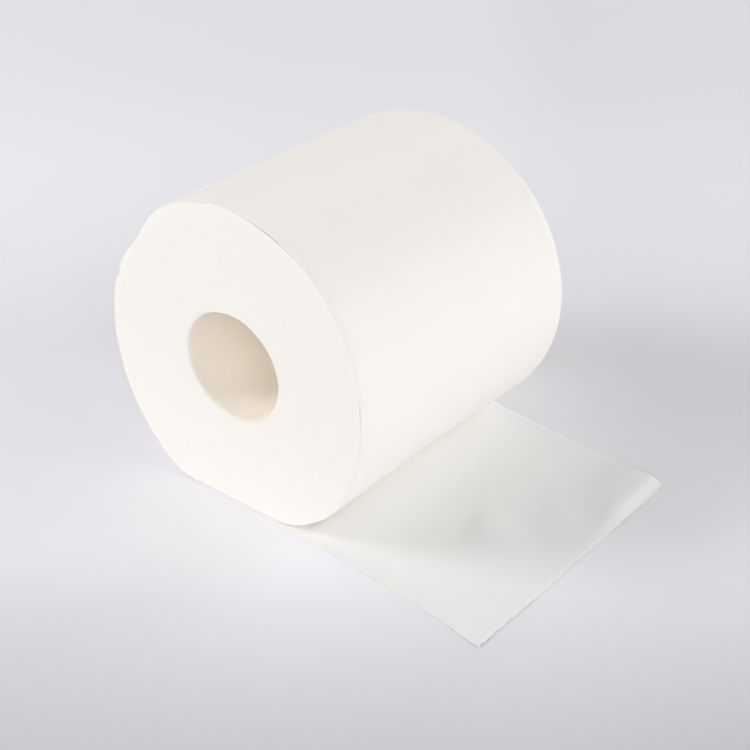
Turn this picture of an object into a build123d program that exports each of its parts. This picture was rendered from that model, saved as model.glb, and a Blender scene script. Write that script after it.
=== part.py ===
from build123d import *
from math import cos, exp, radians, sin, tan
import os

os.makedirs("parts", exist_ok=True)

# The roll lies on its side: its axis runs along Y, and its loose tail runs along the floor towards +X.
# The origin is on the floor under the middle of the axis, on the flat spot. Sizes are in millimetres.

# Cardboard core
core_bore_radius = 18.1      # what a spindle passes through
core_wall = 0.6              # two plies of board
core_setback = 1.5           # each end of the core lies this far inside the paper
core_edge = 0.2              # bevel of the cut edges of the board
glue_gap = 0.05              # radial room between the board and the first turn

# Wound paper
sheet_width = 100.0          # width of the web, along the axis
roll_radius = 52.6           # mean radius of the wound roll at its near end
flat_depth = 1.9             # how far the soft roll has sunk on its flat spot
floor_blend = 2.8            # how softly the round runs into the flat spot
turns = 10                   # turns drawn, each standing for a bundle of real ones
thin_turns = 2               # outermost of these, drawn one sheet thick
sheet_thickness = 0.4        # the loose sheet, with its embossing
turn_gap = 0.3               # air between one turn and the next
inner_ring = 1.6             # first turns, wound tight round the core
flats_per_turn = 40          # short flats that each turn is drawn with

# How far each end is out of round: sideways shift, drop, and height over width
near_shift = -0.3
near_drop = 1.35
near_oval = 2.5
far_shift = 2.0
far_drop = 3.6
far_oval = 0.2
far_swell = 0.7              # extra radius of the far end

# Knock on the near rim, and the outer turn that stands loose there
dent_angle = 141.0           # degrees round the axis, from +X up
dent_spread = 11.8
dent_depth = 2.2
dent_reach = 28.0            # length of roll that the knock has pushed in
dent_fade = 3                # power by which the knock dies away towards the core
loose_angle = 60.0
loose_gap = 0.45             # most extra air under it
loose_focus = 8              # power that narrows the loose stretch

# Loose tail
tail_reach = 100.4           # from the axis to the torn edge, along the floor
tail_clear = 3.0             # sheet that still lies flat beyond the flat spot
tail_skew = 4.2              # degrees that the sheet runs off square
tear_skew = 2.8              # degrees that the tear runs off square
tail_swell = 1.1             # height of the gentle waves
tail_wave = 52.0             # length of one wave
tail_wave_lean = 16.0        # how far the far edge's waves lie behind the near edge's
tail_rest = 0.08             # least height of the sheet between its waves
tail_lead = 24.0             # length over which the waves begin
far_curl = 3.0               # lift of the far corner
far_curl_length = 46.0
far_curl_width = 66.0
near_lift = 0.9              # lift of the near corner
near_lift_length = 34.0
near_lift_width = 60.0
tail_stations = 6            # lines along the sheet that carry its waves
tail_points = 10             # points on each of these lines

# Torn perforation
tear_stubs = 18              # stubs left standing
tear_depth = 0.7             # deepest gap between two stubs
tear_uneven = 0.5            # how much shallower the shallowest gap is
stub_width = 1.6
stub_foot = 2.4              # width where the stub meets the sheet

# Values that follow
half_width = sheet_width / 2
core_outer_radius = core_bore_radius + core_wall
web_inner_radius = core_outer_radius + glue_gap
axis_height = roll_radius - flat_depth
wound_depth = axis_height - web_inner_radius
thin_pitch = sheet_thickness + turn_gap
bundle_pitch = (wound_depth - inner_ring - thin_turns * thin_pitch) / (turns - thin_turns)
section_places = (-half_width, -half_width + dent_reach, half_width)


def off_angle(angle, middle):
    return (angle - middle + 180) % 360 - 180


def mix(near, far, y):
    share = (y + half_width) / sheet_width
    return near + (far - near) * share


def free_radius(angle, y):
    """Radius of the roll in one direction, before the floor flattens it."""
    a = radians(angle)
    shape = roll_radius + mix(0, far_swell, y)
    shape += mix(near_shift, far_shift, y) * cos(a)
    shape -= mix(near_drop, far_drop, y) * sin(a)
    return shape - mix(near_oval, far_oval, y) * cos(2 * a)


def floor_radius(angle):
    """Distance from the axis to the floor in one direction, or a long way where it doesn't point down."""
    down = -sin(radians(angle))
    return axis_height / down if down * 2 * roll_radius > axis_height else 2 * roll_radius


def outline_radius(angle, y):
    """Free radius and floor, joined by a soft minimum that keeps the flat spot truly flat."""
    free = free_radius(angle, y)
    ground = floor_radius(angle)
    blend = max(floor_blend - abs(free - ground), 0)
    return min(free, ground) - blend**2 / (4 * floor_blend)


def flat_end(y, side):
    """Direction of the end of the flat spot: side -1 is its left end, and 1 its right end."""
    angle = 270.0
    while free_radius(angle + side, y) - floor_radius(angle + side) > floor_blend:
        angle += side
    return angle


def knock(angle, y):
    """Depth of the dent at the outside of the roll."""
    fade = max(0, 1 - (y + half_width) / dent_reach)
    return dent_depth * fade * exp(-((off_angle(angle, dent_angle) / dent_spread) ** 2))


def turn_depth(along):
    """Depth of a turn's outer face below the outside of the roll, where along counts turns inwards."""
    thin = min(along, thin_turns)
    return thin * thin_pitch + (along - thin) * bundle_pitch


def slack(along, angle, y):
    """Extra air outside the second turn, where the outermost one stands loose."""
    if not 1 <= along < 2:
        return 0
    return loose_gap * mix(1, 0, y) * cos(radians(off_angle(angle, loose_angle) / 2)) ** loose_focus


def turn_point(angle, deep, y):
    """Point at a depth inside the roll: the turns pass from the round core to the dented outline."""
    share = 1 - deep / wound_depth
    radius = web_inner_radius + share * (outline_radius(angle, y) - web_inner_radius)
    radius -= knock(angle, y) * share**dent_fade
    return Vector(radius * cos(radians(angle)), y, axis_height + radius * sin(radians(angle)))


def web_face(last_turn, y, inner):
    """Points of the strip's outer or inner face, from the flat spot up the left side and on round."""
    points = []
    for step in range(last_turn * flats_per_turn + 1):
        along = step / flats_per_turn
        angle = lift_off - 360 * along
        deep = turn_depth(along + 1) - turn_gap if inner else turn_depth(along) + slack(along, angle, y)
        points.append(turn_point(angle, deep, y))
    return points


def web_section(y):
    """Closed outline of the wound strip: in along its outer face, and out again along its inner face."""
    root_low = Vector(tail_root, y, 0)
    root_high = Vector(tail_root, y, sheet_thickness)
    outer = web_face(turns, y, False)
    inner = web_face(turns - 1, y, True)
    return Wire.make_polygon([root_low, *outer, *reversed(inner), root_high])


def wound_web():
    body = Solid.make_loft([web_section(y) for y in section_places], ruled=True)
    hole = Cylinder(web_inner_radius, 2 * sheet_width, rotation=(90, 0, 0))
    return body - Pos(0, 0, axis_height) * hole


def tail_height(gone, left, across):
    """Underside of the sheet above the floor, by the lengths gone and left, and how far across it is."""
    start = min(1, gone / tail_lead)
    ease = start * start * (3 - 2 * start)
    turn = (gone + tail_wave_lean * across) / tail_wave
    wave = tail_rest + tail_swell * (0.5 - 0.5 * cos(radians(360 * turn)))
    curl = max(0, 1 - left / far_curl_length) * max(0, 1 - (1 - across) * sheet_width / far_curl_width)
    lift = max(0, 1 - left / near_lift_length) * max(0, 1 - across * sheet_width / near_lift_width)
    return ease * wave + far_curl * curl**2 + near_lift * lift**2


def tail_line(across):
    """Points along the underside of the sheet, from the roll to the tear."""
    run = Vector(cos(radians(tail_skew)), -sin(radians(tail_skew)), 0)
    root = Vector(tail_root, half_width * (2 * across - 1), 0)
    tip = Vector(tail_reach, -(tail_reach - tail_root) * tan(radians(tail_skew)), 0)
    out_of_tear = Vector(cos(radians(tear_skew)), -sin(radians(tear_skew)), 0)
    length = (tip - root).dot(out_of_tear) / run.dot(out_of_tear)
    points = []
    for step in range(tail_points + 1):
        gone = length * step / tail_points
        points.append(root + run * gone + Vector(0, 0, tail_height(gone, length - gone, across)))
    return points


def tail_sheet():
    sections = []
    for station in range(tail_stations):
        low = tail_line(station / (tail_stations - 1))
        high = [point + Vector(0, 0, sheet_thickness) for point in low]
        edges = [Spline(low), Line(low[-1], high[-1]), Spline(high[::-1]), Line(high[0], low[0])]
        sections.append(Wire(edges))
    return Solid.make_loft(sections)


def tear_notches():
    """Gaps between the stubs of the torn perforation, uneven as a tear is."""
    near_tip = tail_line(0)[-1]
    edge = tail_line(1)[-1] - near_tip
    edge.Z = 0
    pitch = edge.length / tear_stubs
    along = edge.normalized()
    inward = Vector(-along.Y, along.X, 0)
    notches = []
    for stub in range(tear_stubs):
        middle = Vector(near_tip.X, near_tip.Y, -sheet_thickness) + along * (pitch * (stub + 0.5))
        deep = inward * (tear_depth * (1 - tear_uneven * sin(2 * stub) ** 2))
        mouth = along * ((pitch - stub_width) / 2)
        foot = along * ((pitch - stub_foot) / 2)
        corners = [middle - mouth - deep, middle - foot + deep, middle + foot + deep, middle + mouth - deep]
        gap = Face(Wire.make_polygon(corners))
        notches.append(extrude(gap, 3 * (far_curl + tail_swell + sheet_thickness), dir=(0, 0, 1)))
    return notches


def core_tube():
    length = sheet_width - 2 * core_setback
    tube = Cylinder(core_outer_radius, length) - Cylinder(core_bore_radius, 2 * length)
    ends = tube.edges().filter_by(GeomType.CIRCLE)
    tube = chamfer(ends, min(core_edge, 0.4 * core_wall))
    return Pos(0, 0, axis_height) * Rot(90, 0, 0) * tube


lift_off = max(flat_end(y, -1) for y in section_places)
flat_right = max(-axis_height / tan(radians(flat_end(y, 1))) for y in section_places)
tail_root = flat_right + tail_clear

paper_web = wound_web() + tail_sheet() - tear_notches()
export_step(paper_web, "parts/paper_web.step")
export_step(core_tube(), "parts/core_tube.step")
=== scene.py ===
import bmesh
import bpy
import math
import random
from mathutils import Matrix, Vector, noise


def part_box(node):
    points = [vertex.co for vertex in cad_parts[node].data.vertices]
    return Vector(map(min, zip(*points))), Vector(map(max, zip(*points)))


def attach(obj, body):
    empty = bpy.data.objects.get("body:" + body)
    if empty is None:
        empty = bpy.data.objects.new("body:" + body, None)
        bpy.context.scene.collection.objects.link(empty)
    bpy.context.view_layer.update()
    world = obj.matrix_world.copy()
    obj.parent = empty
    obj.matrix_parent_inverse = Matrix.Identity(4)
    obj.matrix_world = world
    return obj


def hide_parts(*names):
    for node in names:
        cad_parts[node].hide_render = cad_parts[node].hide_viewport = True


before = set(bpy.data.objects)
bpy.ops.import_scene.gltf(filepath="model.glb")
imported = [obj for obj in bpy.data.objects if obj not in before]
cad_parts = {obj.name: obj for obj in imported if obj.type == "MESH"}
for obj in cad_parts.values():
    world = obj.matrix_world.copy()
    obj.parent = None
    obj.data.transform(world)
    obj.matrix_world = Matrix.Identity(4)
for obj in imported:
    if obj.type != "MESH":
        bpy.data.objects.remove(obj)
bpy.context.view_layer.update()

# sizes read from the frame: the roll's axis runs along Y and the tail runs along +X on the floor
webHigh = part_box("paper_web")[1]
coreLow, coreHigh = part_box("core_tube")
halfWidth = webHigh.y
axisHeight = (coreLow.z + coreHigh.z) / 2
coreOuter = (coreHigh.x - coreLow.x) / 2
fullTurn = 2 * math.pi
print("frame loaded, the web is", round(1000 * 2 * halfWidth), "mm wide")

# small tools
sharpAngle = 0.9                    # radians between two faces past which their edge is sharp
patternShift = (17.3, -5.1, 3.7)    # how far each seed's pattern lies from the next one's
patternHeight = 1.6                 # brings the noise to about -1 to 1


def ease(t):
    # 0 up to t = 0 and 1 past t = 1, softly
    t = min(1, max(0, t))
    return t * t * (3 - 2 * t)


def bell(x, middle, spread):
    return math.exp(-(((x - middle) / spread) ** 2))


def offAngle(angle, middle):
    return (angle - middle + math.pi) % fullTurn - math.pi


def bellRound(angle, middle, spread):
    # a bell round the roll's axis: its middle and spread are in degrees
    return bell(math.degrees(offAngle(angle, math.radians(middle))), 0, spread)


def ripple(x, y, seed):
    # smooth noise with a pattern of its own for each seed
    shiftX, shiftY, shiftZ = patternShift
    return patternHeight * noise.noise(Vector((x + shiftX * seed, y + shiftY * seed, shiftZ * seed)))


def linkObject(name, data):
    ob = bpy.data.objects.new(name, data)
    bpy.context.scene.collection.objects.link(ob)
    return ob


def meshObject(bm, name, materials):
    for edge in bm.edges:
        edge.smooth = not edge.is_boundary and edge.calc_face_angle(0) < sharpAngle
    mesh = bpy.data.meshes.new(name)
    bm.to_mesh(mesh)
    bm.free()
    mesh.shade_smooth()
    for mat in materials:
        mesh.materials.append(mat)
    return linkObject(name, mesh)


def spinProfile(bm, profile, steps):
    # turns a closed line, given by radius and place along Y, once round the Y axis
    verts = [bm.verts.new((r, y, 0)) for r, y in profile]
    edges = [bm.edges.new(pair) for pair in zip(verts, verts[1:] + verts[:1])]
    bmesh.ops.spin(bm, geom=verts + edges, cent=(0, 0, 0), axis=(0, 1, 0), angle=fullTurn,
                   steps=steps, use_merge=True)


# camera at the photograph's viewing angle
shot = {
    "place": (0.268228, -0.336806, 0.301033),
    "around": 36.786,       # degrees, turned from looking along +Y
    "down": 32.818,
    "roll": 1.317,
    "lens": 73.939,
    "sensor": 36,
    "seesTo": 50,           # metres
}


def addCamera():
    data = bpy.data.cameras.new("camera")
    data.lens = shot["lens"]
    data.sensor_width = shot["sensor"]
    data.clip_end = shot["seesTo"]
    cam = linkObject("camera", data)
    turn = Matrix.Rotation(math.radians(shot["around"]), 4, "Z")
    tilt = Matrix.Rotation(math.radians(90 - shot["down"]), 4, "X")
    roll = Matrix.Rotation(math.radians(shot["roll"]), 4, "Z")
    cam.matrix_world = Matrix.Translation(shot["place"]) @ turn @ tilt @ roll
    bpy.context.scene.camera = cam


# materials

class Graph:
    # short ways to add and join the nodes of a material or a world
    def __init__(self, owner):
        owner.use_nodes = True
        self.owner = owner
        self.tree = owner.node_tree

    def add(self, kind, inputs=None, **settings):
        node = self.tree.nodes.new("ShaderNode" + kind)
        for key, value in settings.items():
            setattr(node, key, value)
        for key, value in (inputs or {}).items():
            self.feed(node.inputs[key], value)
        return node

    def feed(self, socket, value):
        if hasattr(value, "links"):
            self.tree.links.new(value, socket)
        else:
            socket.default_value = value

    def calc(self, operation, a, b=0.0):
        return self.add("Math", {0: a, 1: b}, operation=operation).outputs[0]

    def vectorCalc(self, operation, output, inputs):
        return self.add("VectorMath", inputs, operation=operation).outputs[output]

    def noise(self, vector, scale, detail=2.0, roughness=0.5):
        # scale is one number, or three where the pattern is drawn out
        if isinstance(scale, tuple):
            vector = self.add("Mapping", {"Vector": vector, "Scale": scale}).outputs["Vector"]
            scale = 1.0
        inputs = {"Vector": vector, "Scale": scale, "Detail": detail, "Roughness": roughness}
        return self.add("TexNoise", inputs).outputs["Fac"]

    def ramp(self, value, low, high):
        inputs = {"Value": value, "To Min": low, "To Max": high}
        return self.add("MapRange", inputs).outputs["Result"]

    def step(self, value, start, end):
        # 0 up to start and 1 past end, softly
        inputs = {"Value": value, "From Min": start, "From Max": end}
        return self.add("MapRange", inputs, interpolation_type="SMOOTHSTEP").outputs["Result"]

    def blendColors(self, share, first, second):
        node = self.add("Mix", {"Factor": share}, data_type="RGBA")
        for side, color in (("A", first), ("B", second)):
            socket = next(i for i in node.inputs if i.name == side and i.type == "RGBA")
            self.feed(socket, color if hasattr(color, "links") else (*color, 1))
        return next(o for o in node.outputs if o.type == "RGBA")

    def bump(self, height, distance, below=None):
        inputs = {"Height": height, "Distance": distance, "Strength": 1.0}
        if below:
            inputs["Normal"] = below
        return self.add("Bump", inputs).outputs["Normal"]

    def plug(self, name, value):
        self.feed(self.tree.nodes["Principled BSDF"].inputs[name], value)


def newMaterial(name):
    return Graph(bpy.data.materials.new(name))


# a pattern is the scale, detail and roughness of a noise, and heights are in metres
tissueLook = {
    "light": (0.945, 0.918, 0.885),
    "deep": (0.930, 0.904, 0.871),
    "cloudPattern": (60, 3.0),              # how these two mix
    "single": (0.850, 0.850, 0.838),        # one sheet alone, with the floor showing through it
    "singleFrom": (0.082, 0.060),           # metres from the tear where the wound colour gives way to it
    "roughness": (0.88, 1.0),
    "specular": 0.15,
    "crepe": 0.00002,                       # height of the fine wrinkles across the web
    "crepePattern": ((2600, 260, 1), 3.0, 0.6),
    "mottle": 0.000035,                     # height of the soft embossed dimples
    "mottlePattern": (480, 1.0, 0.4),
    "bond": 0.00002,                        # height of the pressed dots that hold the plies together
    "bondPlace": 0.0075,                    # from each edge of the web
    "bondWidth": 0.0012,
    "bondDots": 800,                        # dots for each metre
    "bondDot": (0.5, 0.2),                  # where a dot begins and where it is deepest, as shares of a dot
    "bondLoose": 0.35,                      # how far the dots stray from their rows
}


def tissueMaterial():
    # the web's surface: its UV map is in metres, along the web and across it
    g = newMaterial("tissue")
    uv = g.add("UVMap", uv_map="web").outputs["UV"]
    crepe = g.noise(uv, *tissueLook["crepePattern"])
    mottle = g.noise(uv, *tissueLook["mottlePattern"])
    parts = g.add("SeparateXYZ", {0: uv}).outputs
    fromRow = g.calc("SUBTRACT", g.calc("ABSOLUTE", parts["Y"]), halfWidth - tissueLook["bondPlace"])
    row = g.step(g.calc("ABSOLUTE", fromRow), tissueLook["bondWidth"], 0.0)
    dotPattern = {"Vector": uv, "Scale": tissueLook["bondDots"], "Randomness": tissueLook["bondLoose"]}
    dots = g.step(g.add("TexVoronoi", dotPattern).outputs["Distance"], *tissueLook["bondDot"])
    pressed = g.calc("MULTIPLY", g.calc("MULTIPLY", dots, row), -1.0)
    normal = g.bump(pressed, tissueLook["bond"])
    normal = g.bump(mottle, tissueLook["mottle"], normal)
    normal = g.bump(crepe, tissueLook["crepe"], normal)
    cloud = g.noise(uv, *tissueLook["cloudPattern"])
    alone = g.step(g.calc("ABSOLUTE", parts["X"]), *tissueLook["singleFrom"])
    wound = g.blendColors(cloud, tissueLook["deep"], tissueLook["light"])
    g.plug("Base Color", g.blendColors(alone, wound, tissueLook["single"]))
    g.plug("Roughness", g.ramp(crepe, *tissueLook["roughness"]))
    g.plug("Specular IOR Level", tissueLook["specular"])
    g.plug("Normal", normal)
    return g.owner


cutLook = {
    "light": (0.940, 0.915, 0.865),
    "deep": (0.922, 0.898, 0.848),
    "rim": (0.943, 0.925, 0.884),           # the outermost turns' edges: partly their loose, fluffy fibres, partly a painted highlight where the rounded rim catches the light
    "rimTurns": (33.4, 37.6),               # modelled turns from the core where it begins and is full
    "rimPattern": 200.0,
    "rimStray": 3.0,                        # turns by which its place strays
    "roughness": (0.92, 1.0),
    "specular": 0.1,
    "finePitch": 4,                         # real turns drawn in bump on each modelled turn
    "rings": 0.000004,
    "ringStray": (9.0, 5.0, 5.0),           # how quickly the rings stray by turn and by angle, and how far
    "clumps": 0.00004,
    "clumpPattern": 420.0,
    "fuzz": 0.00004,
    "fuzzPattern": (2600.0, 3.0, 0.7),
}


def cutMaterial():
    # the web's cut ends: fine rings of turns, read from the wound piece's own attribute
    g = newMaterial("tissue cut edge")
    place = g.add("TexCoord").outputs["Object"]
    turns = g.add("Attribute", attribute_name="turns").outputs["Fac"]
    parts = g.add("SeparateXYZ", {0: place}).outputs
    angle = g.calc("ARCTAN2", g.calc("SUBTRACT", parts["Z"], axisHeight), parts["X"])
    spiral = g.calc("SUBTRACT", turns, g.calc("DIVIDE", angle, fullTurn))
    byTurn, byAngle, far = cutLook["ringStray"]
    ringPlace = g.add("CombineXYZ", {
        "X": g.calc("MULTIPLY", turns, byTurn),
        "Y": g.calc("MULTIPLY", angle, byAngle),
        "Z": g.calc("SIGN", parts["Y"]),
    }).outputs["Vector"]
    stray = g.calc("MULTIPLY", g.noise(ringPlace, 1.0), far)
    fine = g.calc("MULTIPLY", spiral, cutLook["finePitch"] * fullTurn)
    rings = g.calc("SINE", g.calc("ADD", fine, stray))
    fuzz = g.noise(place, *cutLook["fuzzPattern"])
    clumps = g.noise(place, cutLook["clumpPattern"])
    normal = g.bump(rings, cutLook["rings"])
    normal = g.bump(clumps, cutLook["clumps"], normal)
    normal = g.bump(fuzz, cutLook["fuzz"], normal)
    cut = g.blendColors(clumps, cutLook["deep"], cutLook["light"])
    # partly painted highlight: the outermost turns of the cut ends are lighter and cooler, for their loose
    # fibres and for the light the rounded rim catches
    stray = g.ramp(g.noise(place, cutLook["rimPattern"]), -cutLook["rimStray"], cutLook["rimStray"])
    outside = g.step(g.calc("ADD", turns, stray), *cutLook["rimTurns"])
    g.plug("Base Color", g.blendColors(outside, cut, cutLook["rim"]))
    g.plug("Roughness", g.ramp(fuzz, *cutLook["roughness"]))
    g.plug("Specular IOR Level", cutLook["specular"])
    g.plug("Normal", normal)
    return g.owner


boardLook = {
    "light": (0.999, 0.943, 0.856),
    "dark": (0.993, 0.915, 0.815),
    "cloudPattern": (130.0, 3.0, 0.6),
    "fibrePattern": ((900, 180, 900), 4.0, 0.65),
    "fibreShare": 0.4,                      # share of the tone that comes from the fibres
    "fleck": (0.70, 0.60, 0.48),
    "fleckPattern": ((1500, 500, 1500), 1.0, 0.3),
    "fleckFrom": (0.68, 0.76),              # the higher, the fewer flecks
    "fleckShare": 0.12,
    "end": (0.940, 0.915, 0.865),           # tissue fibres cling to the ends
    "endReach": 0.0026,
    "endShade": (0.985, 0.030),              # painted shade: share of the colour left at the ends, where the tube is made darker; further inside it is whole
    "roughness": (0.78, 0.95),
    "specular": 0.25,
    "relief": 0.00005,
}


def boardMaterial():
    g = newMaterial("core board")
    place = g.add("TexCoord").outputs["Object"]
    fibres = g.noise(place, *boardLook["fibrePattern"])
    cloud = g.noise(place, *boardLook["cloudPattern"])
    flecks = g.step(g.noise(place, *boardLook["fleckPattern"]), *boardLook["fleckFrom"])
    part = boardLook["fibreShare"]
    tone = g.calc("ADD", g.calc("MULTIPLY", cloud, 1 - part), g.calc("MULTIPLY", fibres, part))
    board = g.blendColors(tone, boardLook["dark"], boardLook["light"])
    board = g.blendColors(g.calc("MULTIPLY", flecks, boardLook["fleckShare"]), board, boardLook["fleck"])
    along = g.calc("ABSOLUTE", g.add("SeparateXYZ", {0: place}).outputs["Y"])
    deep = g.calc("SUBTRACT", halfWidth, along)
    # painted shade: the board is darker towards both ends of the tube
    share, reach = boardLook["endShade"]
    tone = g.ramp(g.step(deep, 0, reach), share, 1.0)
    board = g.vectorCalc("SCALE", "Vector", {0: board, "Scale": tone})
    atEnd = g.step(deep, boardLook["endReach"], 0.0)
    g.plug("Base Color", g.blendColors(atEnd, board, boardLook["end"]))
    g.plug("Roughness", g.ramp(fibres, *boardLook["roughness"]))
    g.plug("Specular IOR Level", boardLook["specular"])
    g.plug("Normal", g.bump(fibres, boardLook["relief"]))
    return g.owner


# form of the wound roll, in metres: each end is out of round in its own way, near end first
web = {
    "coreAir": 0.00001,
    "radius": 0.0526,
    "widest": 0.055,        # no part of the roll is further from its axis
    "swell": (0, 0.0007),
    "shift": (-0.0003, 0.0020),
    "drop": (0.00135, 0.0036),
    "oval": (0.0025, 0.0002),
    "floorBlend": 0.0028,
    "floorFrom": 0.45,      # the floor flattens the roll only in directions that point down this steeply
    "liftOff": math.radians(253),   # where the sheet leaves the floor and goes up the left side
    "dent": {"angle": 141, "spread": 11.8, "depth": 0.0022, "reach": 0.028, "fade": 3},
    # air under the outermost sheet at the near rim: degrees, spread, height
    "gaps": ((74, 10, 0.00045), (4, 4, 0.00025), (169, 3, 0.00030)),
    "gapReach": 0.012,
    # how the near rim sits by the floor: degrees, spread, height
    "settled": ((-66, 8, -0.0009), (-47, 9, 0.0010)),
    "settledReach": 0.6,    # as a share of the web's width
    "sheet": 0.0003,
    "pitch": 0.00036,
    "tuck": 0.25,           # share of a turn that the loose sheet runs on under itself
    "rimFall": 0.00012,     # how far the outermost turns lie back at the cut ends
    "rimWidth": 0.0035,
    "rimRound": (0.00035, 0.0022, 12),  # how far the soft rim rounds down, over what width, fade inwards
    "wander": 0.00002,      # how far a turn's edge strays as it was wound
    "wanders": ((0.7, 1.3, 3), (0.3, 11, 7)),   # share, ups and downs for each turn, seed
    "crease": {"angles": (66, 82), "fade": 3, "place": 0.0186, "height": 0.00016, "width": 0.0006,
               "trough": (0.6, 2)},     # its share of the height, and how many widths away it lies
}
innerRadius = coreOuter + web["coreAir"]
woundDepth = axisHeight - innerRadius


def mixEnds(pair, y):
    return pair[0] + (pair[1] - pair[0]) * (y + halfWidth) / (2 * halfWidth)


def outlineRadius(angle, y):
    # from the axis to the outside of the roll, or to the floor where that is nearer
    free = web["radius"] + mixEnds(web["swell"], y)
    free += mixEnds(web["shift"], y) * math.cos(angle)
    free -= mixEnds(web["drop"], y) * math.sin(angle)
    free -= mixEnds(web["oval"], y) * math.cos(2 * angle)
    near = ease(web["settledReach"] - (y + halfWidth) / (2 * halfWidth))
    for middle, spread, swell in web["settled"]:
        free += swell * near * bellRound(angle, middle, spread)
    down = -math.sin(angle)
    ground = axisHeight / down if down > web["floorFrom"] else 3 * axisHeight       # or well away
    blend = max(web["floorBlend"] - abs(free - ground), 0)
    return min(free, ground) - blend * blend / (4 * web["floorBlend"])


def knock(angle, y):
    dent = web["dent"]
    near = max(0, 1 - (y + halfWidth) / dent["reach"])
    return dent["depth"] * near * bellRound(angle, dent["angle"], dent["spread"])


def gapAir(angle, y):
    near = math.exp(-(y + halfWidth) / web["gapReach"])
    return sum(air * bellRound(angle, middle, spread) for middle, spread, air in web["gaps"]) * near


def rollPoint(angle, deep, y):
    # deep is the depth under the roll's outside: the round core gives way to the outline and its dent
    share = 1 - deep / woundDepth
    fall, width, fade = web["rimRound"]
    rounded = fall * max(0, 1 - (halfWidth - abs(y)) / width) ** 2 * share ** fade
    radius = innerRadius + share * (outlineRadius(angle, y) - innerRadius)
    radius -= knock(angle, y) * share ** web["dent"]["fade"]
    radius -= rounded
    return Vector((radius * math.cos(angle), y, axisHeight + radius * math.sin(angle)))


def turnShare(angle):
    # share of a turn from lift-off
    return ((web["liftOff"] - angle) / fullTurn) % 1


def edgePlace(wound, deep, side):
    # y of the web's edge, by how many turns in from lift-off it is and how deep it lies
    stray = sum(share * ripple(wound * waves, 0, seed + side) for share, waves, seed in web["wanders"])
    fall = web["rimFall"] * ease(1 - deep / web["rimWidth"]) ** 2
    return side * (halfWidth - fall + web["wander"] * stray)


# wound body: both cut ends show the edges of the turns
body = {
    "turns": 38,
    "samples": 6,           # vertices across the edge of one turn
    "around": 168,
    "along": 10,
    "bite": 0.00002,        # how far it reaches into the sheet wound round it, so that no line shows
    "groove": 0.00001,
    "grooveShape": 4,       # the higher, the narrower the groove between two turns
    "tuckFade": 0.05,
    "cutFrom": 0.9999,      # share of the half width past which a vertex lies on a cut end
    "cutFacing": 0.6,       # how squarely a face looks along the axis before it counts as cut
    "fromTear": 0.5,        # metres from the tear that its surface counts as, to have the wound colour
}


def bodyDepth(angle, y):
    turn = turnShare(angle)
    single = ease((turn - web["tuck"]) / body["tuckFade"])
    return web["sheet"] - body["bite"] + web["pitch"] * (turn + 1 - single) + gapAir(angle, y) * single


def makeBody(materials):
    bm = bmesh.new()
    steps = body["turns"] * body["samples"]
    reach = woundDepth - web["sheet"]
    profile = [(innerRadius + reach * i / steps, -halfWidth) for i in range(steps + 1)]
    for i in range(1, body["along"]):
        profile.append((innerRadius + reach, halfWidth * (2 * i / body["along"] - 1)))
    profile += [(innerRadius + reach * (1 - i / steps), halfWidth) for i in range(steps + 1)]
    spinProfile(bm, profile, body["around"])
    turnsLayer = bm.verts.layers.float.new("turns")
    for v in bm.verts:
        angle = math.atan2(v.co.z, v.co.x)
        share = (math.hypot(v.co.x, v.co.z) - innerRadius) / reach
        y = v.co.y
        deep = woundDepth - share * (woundDepth - bodyDepth(angle, y))
        v[turnsLayer] = share * body["turns"]
        if abs(y) > body["cutFrom"] * halfWidth:
            side = 1 if y > 0 else -1
            count = share * body["turns"] + turnShare(angle)
            wound = turnShare(angle) + 1 + body["turns"] - math.floor(count)
            across = abs(2 * (count % 1) - 1)
            y = edgePlace(wound, deep, side) - side * body["groove"] * across ** body["grooveShape"]
        v.co = rollPoint(angle, deep, y)
    bmesh.ops.recalc_face_normals(bm, faces=bm.faces)
    for face in bm.faces:
        face.material_index = 1 if abs(face.normal.y) > body["cutFacing"] else 0
    uv = bm.loops.layers.uv.new("web")
    for face in bm.faces:
        for loop in face.loops:
            loop[uv].uv = (loop.vert.co.x - body["fromTear"], loop.vert.co.y)
    return meshObject(bm, "wound_paper", materials)


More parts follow.
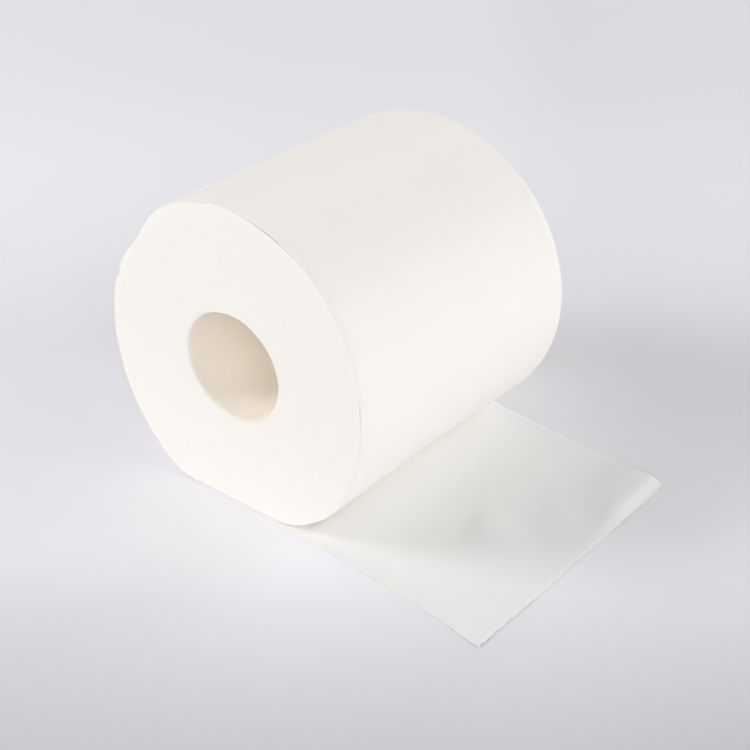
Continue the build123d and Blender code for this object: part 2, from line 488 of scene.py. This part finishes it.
# loose sheet: the outermost turn, the stretch under the roll and the torn tail are one strip
sheet = {
    "around": 150,          # rows on the roll
    "under": 14,            # rows under the roll
    "out": 74,              # rows on the tail
    "across": 140,
    "fineRows": 3,          # rows at the tear that are divided finer
    "fineCuts": 3,
    # on the roll
    "edgePull": 8,          # the higher, the less of the sheet follows its straying edge
    "softness": 0.00012,    # unevenness of the soft paper
    "softWaves": ((1, 14, 3, 21), (0.5, 38, 9, 22)),    # share, ups and downs for each turn, across, seed
    "softEnd": 1.05,        # turns from lift-off where it is gone
    "softFloor": 0.002,     # how near the floor it fades
    # the tail
    "reach": 0.1009,
    "skew": math.radians(4.2),
    "tearSkew": math.radians(2.1),
    "clear": 0.0030,        # still flat beyond the flat spot
    "rest": -0.00003,       # height where it lies flat: just below the floor's top, so that no gap shows
    "restReach": 0.003,
    # low swells: x and y of the crest, height, reach towards the roll and the tear, spread along y, lean
    "swells": (
        (0.0275, -0.005, 0.0028, 0.004, 0.024, 0.050, -0.05),
        (0.0700, -0.012, 0.0010, 0.009, 0.022, 0.010, -0.35),
        (0.0815, 0.0105, 0.0004, 0.006, 0.012, 0.009, -0.30),
        (0.0969, 0.034, 0.0016, 0.020, 0.0045, 0.024, 0.0),
        (0.0950, 0.022, 0.0003, 0.007, 0.010, 0.008, -0.45),
    ),
    "flatEdge": (0.001, 0.010),     # how far outside the near edge the swells begin, over what width
    "underRoll": (0.050, 0.0006),   # up to this x the sheet stays this far under the roll
    # how high the torn edge stands at some places across the web, and how far back it begins to rise
    "tearLift": (
        (-0.056, 0.0004, 0.008), (-0.048, 0.0002, 0.010), (-0.030, 0.0001, 0.010), (-0.004, 0.00003, 0.010),
        (0.008, 0, 0.010), (0.026, 0.0001, 0.006), (0.036, 0, 0.006),
    ),
    # the near edge's low ridge: height, how far in from the edge, how wide, over what length it begins
    "hem": (0.00032, 0.0007, 0.0005, 0.02),
    "hemWaves": (0.6, 0.6, 260),    # share that is even, share that isn't, ups and downs for each metre
    # how the near edge swings out: x where it begins and ends, how far, fade across the sheet
    "flare": (0.075, 0.100, 0.0020, 3),
    "edgeStray": (0.00012, 300, 20),        # how far, ups and downs for each metre, fade inwards
    "edgeThin": 0.2,        # thickness left at the tail's edges, as a share
    "thinEdge": 0.02,       # how wide the thin part is, as a share of the half width
    "thinRows": (8, 1.5),   # rows over which it begins at the roll, and rows that it takes at the tear
    # the torn perforation
    "stubs": 18,
    "slit": 0.0004,         # depth of the cut between two torn stubs
    "slitShape": (0.36, 0.1),       # its half width as a share of a stub's place, and how softly it ends
    "slitUneven": 0.73,             # step in the noise from one slit to the next
    "farCorner": (0.0012, 0.05),    # rounded off: how far back, and over what share of the width
    "nearCorner": (0.0006, 0.3, 0.25),      # how far back, up to what share of the width, over what share
    "ragged": 0.00022,
    "raggedWaves": ((1, 60, 6), (0.6, 260, 8)),     # share, ups and downs for the width, seed
    "tearFade": 12,         # the higher, the nearer to the tear its shape is kept
}
liftX = axisHeight * math.cos(web["liftOff"]) / -math.sin(web["liftOff"])


def flatEnd(y, step=0.005, slack=1e-7):
    # x where the flat spot ends on the tail's side, found in small steps round from straight down
    angle = 1.5 * math.pi
    while outlineRadius(angle, y) > axisHeight / -math.sin(angle) - slack:
        angle += step
    return axisHeight * math.cos(angle) / -math.sin(angle)


rootX = max(flatEnd(-halfWidth), flatEnd(halfWidth)) + sheet["clear"]
runWay = Vector((math.cos(sheet["skew"]), -math.sin(sheet["skew"]), 0))
tearWay = Vector((math.cos(sheet["tearSkew"]), -math.sin(sheet["tearSkew"]), 0))
tailTip = Vector((sheet["reach"], -(sheet["reach"] - rootX) * math.tan(sheet["skew"]), 0))


def tailLength(y):
    return (tailTip - Vector((rootX, y, 0))).dot(tearWay) / runWay.dot(tearWay)


def rollUnderside(x, y):
    # height of the roll's outside above a place on the floor, found in a few rounds
    angle = -math.acos(x / web["widest"])
    for _ in range(4):
        angle = -math.acos(min(1, x / outlineRadius(angle, y)))
    return axisHeight + outlineRadius(angle, y) * math.sin(angle)


def tearRise(y, left):
    # height of the torn edge, by the length of sheet left to it
    places = sheet["tearLift"]
    for low, top in zip(places, places[1:]):
        if y <= top[0]:
            break
    share = min(1, max(0, (y - low[0]) / (top[0] - low[0])))
    height, length = (low[i] + (top[i] - low[i]) * share for i in (1, 2))
    return height * max(0, 1 - left / length) ** 2


def tailHeight(x, y, left):
    high = 0
    for crestX, crestY, height, back, ahead, spread, lean in sheet["swells"]:
        off = x - crestX - lean * (y - crestY)
        high += height * ease(1 - abs(off) / (back if off < 0 else ahead)) * bell(y, crestY, spread)
    outside, width = sheet["flatEdge"]
    high *= ease((y + halfWidth + outside) / width)
    end, under = sheet["underRoll"]
    if x < end:
        high = min(high, max(0, rollUnderside(x, min(halfWidth, max(-halfWidth, y))) - under))
    return high + tearRise(y, left) + sheet["rest"] * ease((x - rootX) / sheet["restReach"])


def tearDepth(across):
    # how far back the tear lies at a share of the web's width, near edge first
    phase = across * sheet["stubs"]
    uneven = 0.5 + 0.5 * ripple(math.floor(phase) * sheet["slitUneven"], 0, 5)
    half, soft = sheet["slitShape"]
    depth = sheet["slit"] * uneven * ease((half - abs(phase % 1 - 0.5)) / soft)
    back, part = sheet["farCorner"]
    depth += back * max(0, across - (1 - part)) ** 2 / part ** 2
    back, part, soft = sheet["nearCorner"]
    depth += back * ease((part - across) / soft)
    rough = sum(share * ripple(across * waves, 0, seed) for share, waves, seed in sheet["raggedWaves"])
    return depth + sheet["ragged"] * rough


def creaseHeight(angle, y):
    crease = web["crease"]
    start, end = crease["angles"]
    inside = ease((math.degrees(angle) - start) / crease["fade"])
    inside *= ease((end - math.degrees(angle)) / crease["fade"])
    off = (y - crease["place"]) / crease["width"]
    share, beside = crease["trough"]
    return crease["height"] * inside * (bell(off, 0, 1) - share * bell(off, beside, 1))


def woundPoint(row, v, side):
    # on the roll
    wound = (1 + web["tuck"]) * (1 - row / sheet["around"])
    angle = (web["liftOff"] - fullTurn * wound) % fullTurn
    edge = edgePlace(wound, web["pitch"] * wound, side)
    y = halfWidth * v + (edge - side * halfWidth) * abs(v) ** sheet["edgePull"]
    near = sheet["softFloor"]
    ground = axisHeight / max(web["floorFrom"], -math.sin(angle))
    onFloor = ease((outlineRadius(angle, y) + near - ground) / near)
    waves = 0
    for share, along, across, seed in sheet["softWaves"]:
        waves += share * ripple(wound * along, v * across, seed)
    soft = sheet["softness"] * waves * (1 - onFloor) * ease(sheet["softEnd"] - wound)
    return rollPoint(angle, web["pitch"] * wound - soft - creaseHeight(angle, y), y)


def tailPoint(row, v, side):
    # on the tail, where row counts from the root
    y = halfWidth * v
    across = (v + 1) / 2
    length = tailLength(y)
    gone = length * row / sheet["out"] - tearDepth(across) * (row / sheet["out"]) ** sheet["tearFade"]
    point = Vector((rootX, y, 0)) + runWay * gone
    start, end, swing, fade = sheet["flare"]
    point.y -= swing * ease((point.x - start) / (end - start)) * (1 - across) ** fade
    stray, waves, fade = sheet["edgeStray"]
    point.y += stray * side * abs(v) ** fade * ripple(gone * waves, side, 31)
    high, inside, width, start = sheet["hem"]
    even, uneven, waves = sheet["hemWaves"]
    hem = high * bell(2 * halfWidth * across, inside, width) * (even + uneven * ripple(gone * waves, 0, 33))
    point.z = tailHeight(point.x, point.y, length - gone) + max(0, hem * ease(gone / start))
    return point


def sheetPoint(row, v):
    # row counts from the strip's hidden inner end to the tear, and v runs from -1 to 1 across it
    side = 1 if v > 0 else -1
    if row < sheet["around"]:
        return woundPoint(row, v, side)
    row -= sheet["around"]
    if row < sheet["under"]:
        return Vector((liftX + (rootX - liftX) * row / sheet["under"], halfWidth * v, 0))
    return tailPoint(row - sheet["under"], v, side)


def sheetThickness(row, v):
    # share of the full thickness: the tail's edges are worn thin
    onTail = row - sheet["around"] - sheet["under"]
    if onTail < 0:
        return 1
    width = sheet["thinEdge"]
    begin, end = sheet["thinRows"]
    edge = max(ease((abs(v) - (1 - width)) / width), ease((onTail - sheet["out"] + end) / end))
    return 1 - (1 - sheet["edgeThin"]) * edge * ease(onTail / begin)


def makeSheet(material):
    rows = sheet["around"] + sheet["under"] + sheet["out"]
    bm = bmesh.new()
    weights = bm.verts.layers.deform.verify()
    bmesh.ops.create_grid(bm, x_segments=rows, y_segments=sheet["across"], size=1)
    tearStart = 1 - 2 * (sheet["fineRows"] + 0.5) / rows
    nearTear = [e for e in bm.edges if min(v.co.x for v in e.verts) > tearStart]
    bmesh.ops.subdivide_edges(bm, edges=nearTear, cuts=sheet["fineCuts"], use_grid_fill=True)
    grid = {v: ((v.co.x + 1) / 2 * rows, v.co.y) for v in bm.verts}
    lengths = [0]
    for row in range(rows):
        lengths.append(lengths[-1] + (sheetPoint(row + 1, 0) - sheetPoint(row, 0)).length)
    uv = bm.loops.layers.uv.new("web")
    for face in bm.faces:
        for loop in face.loops:
            row, v = grid[loop.vert]
            whole = min(rows - 1, int(row))
            along = lengths[whole] + (lengths[whole + 1] - lengths[whole]) * (row - whole)
            loop[uv].uv = (along - lengths[-1], v * halfWidth)      # metres, from the tear
    for vert, (row, v) in grid.items():
        vert.co = sheetPoint(row, v)
        vert[weights][0] = sheetThickness(row, v)
    bm.normal_update()
    if max(bm.faces, key=lambda f: f.calc_center_median().x).normal.z > 0:
        bmesh.ops.reverse_faces(bm, faces=bm.faces)     # the outer side is under the tail
    ob = meshObject(bm, "loose_sheet", [material])
    thick = ob.modifiers.new("thickness", "SOLIDIFY")
    thick.thickness = web["sheet"]
    thick.offset = -1
    thick.vertex_group = ob.vertex_groups.new(name="thickness").name
    return ob


# cardboard core, two plies wound on the bias
core = {
    "bore": 0.0181,
    "setback": 0.00005,
    "around": 144,
    "along": 60,
    "lead": 0.094,          # length of tube for one turn of the seam
    "lap": 0.00002,         # step where one ply's edge meets the next
    "edge": 0.00015,
    "gather": 0.35,         # how much closer the vertices stand at the seam
    "stray": 0.00012,       # how far the cut ends stray
    "strayWaves": 3,
    "strayReach": 0.001,
}


def makeCore(material):
    bm = bmesh.new()
    half = halfWidth - core["setback"]
    flat = half - core["edge"]
    profile = [(core["bore"], flat - 2 * flat * i / core["along"]) for i in range(core["along"] + 1)]
    profile += [(core["bore"] + core["edge"], -half), (coreOuter - core["edge"], -half)]
    profile += [(coreOuter, -flat), (coreOuter, flat)]
    profile += [(coreOuter - core["edge"], half), (core["bore"] + core["edge"], half)]
    spinProfile(bm, profile, core["around"])
    for v in bm.verts:
        turn = (math.atan2(v.co.z, v.co.x) / fullTurn) % 1
        radius = math.hypot(v.co.x, v.co.z)
        inside = ease((coreOuter - core["edge"] - radius) / (coreOuter - core["bore"] - 2 * core["edge"]))
        radius -= core["lap"] * (turn - 0.5) * inside
        gathered = 0.5 - 0.5 * math.cos(math.pi * turn)
        turn = core["gather"] * gathered + (1 - core["gather"]) * turn
        angle = fullTurn * (turn + v.co.y / core["lead"])
        y = v.co.y
        if abs(y) > half - core["strayReach"]:
            waves = core["strayWaves"]
            y += core["stray"] * ripple(math.cos(angle) * waves, math.sin(angle) * waves, 41)
        v.co = (radius * math.cos(angle), y, axisHeight + radius * math.sin(angle))
    bmesh.ops.recalc_face_normals(bm, faces=bm.faces)
    return meshObject(bm, "board_core", [material])


# loose fibres on the torn edge and along the cut edges: each pair is the range of a random draw
fluff = {
    "thick": 0.000026,
    "seed": 4,
    "hair": {"long": (0.0003, 0.0016), "cut": (0.5, 1), "pieces": 4, "taper": 0.18, "floor": 0.00003,
             "curl": 0.35, "bend": ((-1, 1), (-1, 1), (-0.6, 1))},
    "tear": {"hairs": 1100, "back": 0.2, "aside": (-0.9, 0.9), "up": (-1.0, 0.3)},
    "edges": {"hairs": 160, "from": 0.25, "to": 0.95, "outward": (0, 0.8)},
    "hem": {"hairs": 240, "from": 0.95, "place": (0.985, 1), "way": ((-1, 1), (-1, -0.1), (-0.5, 0.4))},
    "tufts": ((104.4, -1), (108, -0.81), (134, -1), (146, -1), (106, 0.95)),    # degrees, place across
    "tuft": {"hairs": 22, "stray": (0.0005, 0.0004, 0.0002), "sunk": 0.0001,
             "way": ((-1, 1), (-1, 1), (-0.5, 1))},
    # longer strands that lie along the rim: degrees, place across, length, lift
    "strands": (
        (101, -0.995, 0.0050, 0.0004), (103, -0.97, 0.0040, 0.0005), (106, -0.93, 0.0035, 0.0004),
        (108, -0.81, 0.0028, 0.0005), (112, -0.99, 0.0030, 0.0003), (97, -0.99, 0.0030, 0.0003),
        (106, 0.96, 0.0030, 0.0005),
    ),
    "strand": {"pieces": 8, "sway": 0.012, "swayTurn": 7, "foot": 0.1, "thicker": 2.5},
    "pattern": 300.0,
    # painted light: the fibres run lighter than the paper, up to this colour, so that those turned from the
    # lamps still look white
    "paintedLightFibre": (0.985, 0.975, 0.955),
    "roughness": (0.7, 0.9),
}


def drawWay(rng, ranges):
    return Vector([rng.uniform(*limits) for limits in ranges])


def addHair(curve, root, way, rng):
    hair = fluff["hair"]
    length = rng.uniform(*hair["long"]) * rng.uniform(*hair["cut"])
    bend = drawWay(rng, hair["bend"])
    line = curve.splines.new("POLY")
    line.points.add(hair["pieces"])
    point = root.copy()
    for k, p in enumerate(line.points):
        p.co = (*point, 1)
        p.radius = 1 - hair["taper"] * k
        point = point + (way + bend * hair["curl"] * k).normalized() * length / hair["pieces"]
        point.z = max(point.z, hair["floor"])


def turnPoint(angle, v):
    # on the outermost turn, by direction from the axis
    return sheetPoint(sheet["around"] * (1 - turnShare(angle) / (1 + web["tuck"])), v)


def outwardFrom(point):
    return (point - Vector((0, point.y, axisHeight))).normalized()


def addTearHairs(curve, rows, rng):
    hairs = fluff["tear"]
    lift = Vector((0, 0, web["sheet"] / 2))
    for _ in range(hairs["hairs"]):
        root = sheetPoint(rows - hairs["back"], rng.uniform(-1, 1)) + lift
        way = runWay + Vector((0, rng.uniform(*hairs["aside"]), rng.uniform(*hairs["up"])))
        addHair(curve, root, way.normalized(), rng)


def addEdgeHairs(curve, rows, rng):
    hairs = fluff["edges"]
    for _ in range(hairs["hairs"]):
        side = rng.choice((-1, 1))
        row = rng.uniform(sheet["around"] * hairs["from"], rows)
        if sheet["around"] * hairs["to"] < row < sheet["around"] + sheet["under"]:
            continue        # none where the sheet lies under the roll
        root = sheetPoint(row, side)
        outward = outwardFrom(root) if row < sheet["around"] else Vector((0, 0, 1))
        way = Vector((0, side, 0)) + outward * rng.uniform(*hairs["outward"])
        addHair(curve, root, way.normalized(), rng)


def addHemHairs(curve, rows, rng):
    # along the tail's near edge
    hairs = fluff["hem"]
    lift = Vector((0, 0, web["sheet"] / 2))
    for _ in range(hairs["hairs"]):
        row = rng.uniform(rows - sheet["out"] * hairs["from"], rows - 1)
        root = sheetPoint(row, -rng.uniform(*hairs["place"])) + lift
        addHair(curve, root, drawWay(rng, hairs["way"]).normalized(), rng)


def addTufts(curve, rng):
    tuft = fluff["tuft"]
    for degrees, v in fluff["tufts"]:
        root = turnPoint(math.radians(degrees), v)
        outward = outwardFrom(root)
        for _ in range(tuft["hairs"]):
            stray = Vector([rng.gauss(0, spread) for spread in tuft["stray"]])
            way = outward + drawWay(rng, tuft["way"])
            addHair(curve, root + stray - outward * tuft["sunk"], way.normalized(), rng)


def addStrands(curve):
    strand = fluff["strand"]
    for degrees, v, length, lift in fluff["strands"]:
        line = curve.splines.new("POLY")
        line.points.add(strand["pieces"])
        for k, p in enumerate(line.points):
            part = k / strand["pieces"]
            angle = math.radians(degrees) + (part - 0.5) * length / web["radius"]
            place = turnPoint(angle, v + strand["sway"] * math.sin(strand["swayTurn"] * part + degrees))
            high = lift * (strand["foot"] + math.sin(math.pi * part) ** 2)
            p.co = (*(place + outwardFrom(place) * high), 1)
            p.radius = 1 + strand["thicker"] * math.sin(math.pi * part)


def makeFluff(material):
    rng = random.Random(fluff["seed"])
    curve = bpy.data.curves.new("fluff_line", "CURVE")
    curve.dimensions = "3D"
    curve.bevel_depth = fluff["thick"]
    curve.bevel_resolution = 0
    curve.use_fill_caps = True
    rows = sheet["around"] + sheet["under"] + sheet["out"]
    addTearHairs(curve, rows, rng)
    addEdgeHairs(curve, rows, rng)
    addHemHairs(curve, rows, rng)
    addTufts(curve, rng)
    addStrands(curve)
    line = linkObject("fluff_line", curve)
    mesh = bpy.data.meshes.new_from_object(line)
    bpy.data.objects.remove(line)
    mesh.materials.clear()
    mesh.materials.append(material)
    return linkObject("torn_fluff", mesh)


def fluffMaterial():
    g = newMaterial("fluff")
    tone = g.noise(g.add("TexCoord").outputs["Object"], fluff["pattern"])
    # painted light: the fibres are lighter than the paper they come from
    g.plug("Base Color", g.blendColors(tone, tissueLook["light"], fluff["paintedLightFibre"]))
    g.plug("Roughness", g.ramp(tone, *fluff["roughness"]))
    return g.owner


# floor, backdrop and lamps
studio = {
    "floor": (0.752, 0.745, 0.782),
    "floorRadius": 3.0,
    "floorSides": 96,
    "floorDrop": 0.00002,                   # how far its top lies below the frame's floor
    "floorPattern": 9.0,
    "floorRoughness": (0.8, 0.9),
    "floorSpecular": 0.1,
    # painted light and shade: how the floor's tone runs, with a brighter band in front of the roll and
    # darker towards the camera: metres towards the camera, and share of the colour
    "paintedTones": ((-0.40, 1.09), (-0.30, 1.10), (-0.22, 1.16), (-0.14, 1.15), (-0.08, 1.095), (-0.04, 1.045),
              (0.045, 1.18), (0.068, 1.195), (0.088, 1.12), (0.127, 0.925), (0.16, 0.79)),
    "toCamera": (0.622, -0.783, 0),
    "toRight": (0.799, 0.600, 0),
    "paintedShadeRight": (0.055, 0.120, 0.94),         # painted shade: the right-hand side is darker, deepening the roll's shadow there: where it starts and ends, and its share
    "backdrop": (0.76, 0.755, 0.785),
    "ring": (0.20, 0.42, 0.60, 0.80),       # heights where the bright ring of the sky comes and goes
    "ringLight": 1.42,
    "aim": (0, 0, 0.05),                    # what the lamps point at
    "lampAway": 1.5,
    "lampColor": (1, 0.992, 0.982),
}
# degrees round from +X, degrees up, side of the square lamp, watts
lamps = {
    "left_softbox": (-140, 32, 0.55, 7.8),
    "side_softbox": (170, 10, 0.6, 1.5),
    "front_softbox": (-50, 20, 1.0, 5.8),
    "right_softbox": (5, 4, 0.5, 4.4),
    "back_softbox": (75, 8, 0.8, 10.5),
}


def floorMaterial():
    g = newMaterial("floor")
    place = g.add("TexCoord").outputs["Object"]
    # painted light and shade along the floor, lighter in front of the roll and darker towards the camera
    along = g.vectorCalc("DOT_PRODUCT", "Value", {0: place, 1: studio["toCamera"]})
    start, end = studio["paintedTones"][0][0], studio["paintedTones"][-1][0]
    share = g.add("MapRange", {"Value": along, "From Min": start, "From Max": end}).outputs["Result"]
    ramp = g.add("ValToRGB", {"Fac": share})
    ramp.color_ramp.interpolation = "B_SPLINE"
    stops = ramp.color_ramp.elements
    while len(stops) < len(studio["paintedTones"]):
        stops.new(0.5)
    for stop, (where, tone) in zip(stops, studio["paintedTones"]):
        stop.position = (where - start) / (end - start)
        stop.color = (*(tone * c for c in studio["floor"]), 1)
    # painted shade on the right-hand side of the floor, where the roll's shadow falls
    sideways = g.vectorCalc("DOT_PRODUCT", "Value", {0: place, 1: studio["toRight"]})
    start, end, dim = studio["paintedShadeRight"]
    right = g.ramp(g.step(sideways, start, end), 1.0, dim)
    g.plug("Base Color", g.vectorCalc("SCALE", "Vector", {0: ramp.outputs["Color"], "Scale": right}))
    g.plug("Roughness", g.ramp(g.noise(place, studio["floorPattern"]), *studio["floorRoughness"]))
    g.plug("Specular IOR Level", studio["floorSpecular"])
    return g.owner


def makeFloor():
    bm = bmesh.new()
    bmesh.ops.create_circle(bm, cap_ends=True, radius=studio["floorRadius"], segments=studio["floorSides"])
    bmesh.ops.translate(bm, verts=bm.verts, vec=(0, 0, -studio["floorDrop"]))
    meshObject(bm, "floor", [floorMaterial()])


def makeLamps():
    for name, (around, up, side, power) in lamps.items():
        data = bpy.data.lights.new(name, "AREA")
        data.size = side
        data.energy = power
        data.color = studio["lampColor"]
        ob = linkObject(name, data)
        around, up = math.radians(around), math.radians(up)
        way = Vector((math.cos(around) * math.cos(up), math.sin(around) * math.cos(up), math.sin(up)))
        ob.location = Vector(studio["aim"]) + way * studio["lampAway"]
        ob.rotation_euler = (-way).to_track_quat("-Z", "Y").to_euler()


def makeWorld():
    world = bpy.data.worlds.new("studio")
    bpy.context.scene.world = world
    g = Graph(world)
    high = g.add("SeparateXYZ", {0: g.add("TexCoord").outputs["Generated"]}).outputs["Z"]
    comes, full, goes, gone = studio["ring"]
    ring = g.calc("MULTIPLY", g.step(high, comes, full), g.step(high, gone, goes))
    light = g.tree.nodes["Background"]
    g.feed(light.inputs["Color"], (1, 1, 1, 1))
    g.feed(light.inputs["Strength"], g.calc("MULTIPLY", ring, studio["ringLight"]))
    seen = g.add("Background", {"Color": (*studio["backdrop"], 1)})
    rays = g.add("LightPath").outputs
    shown = g.calc("MAXIMUM", rays["Is Camera Ray"], rays["Is Glossy Ray"])
    shown = g.calc("MAXIMUM", shown, rays["Is Transmission Ray"])
    mix = g.add("MixShader", {0: shown, 1: light.outputs[0], 2: seen.outputs[0]})
    g.feed(g.tree.nodes["World Output"].inputs["Surface"], mix.outputs[0])


addCamera()
tissue = tissueMaterial()
woundPaper = makeBody([tissue, cutMaterial()])
print("wound paper made,", len(woundPaper.data.polygons), "faces")
looseSheet = makeSheet(tissue)
print("loose sheet made,", len(looseSheet.data.polygons), "faces")
boardCore = makeCore(boardMaterial())
tornFluff = makeFluff(fluffMaterial())
print("core and fluff made")
for piece, node, slot in ((woundPaper, "paper_web", "tissue"), (looseSheet, "paper_web", "tissue"),
                          (tornFluff, "paper_web", "tissue"), (boardCore, "core_tube", "core_board")):
    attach(piece, "root")
    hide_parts(node)
makeFloor()
makeLamps()
makeWorld()
bpy.context.scene.view_settings.view_transform = "Standard"
print("studio made")
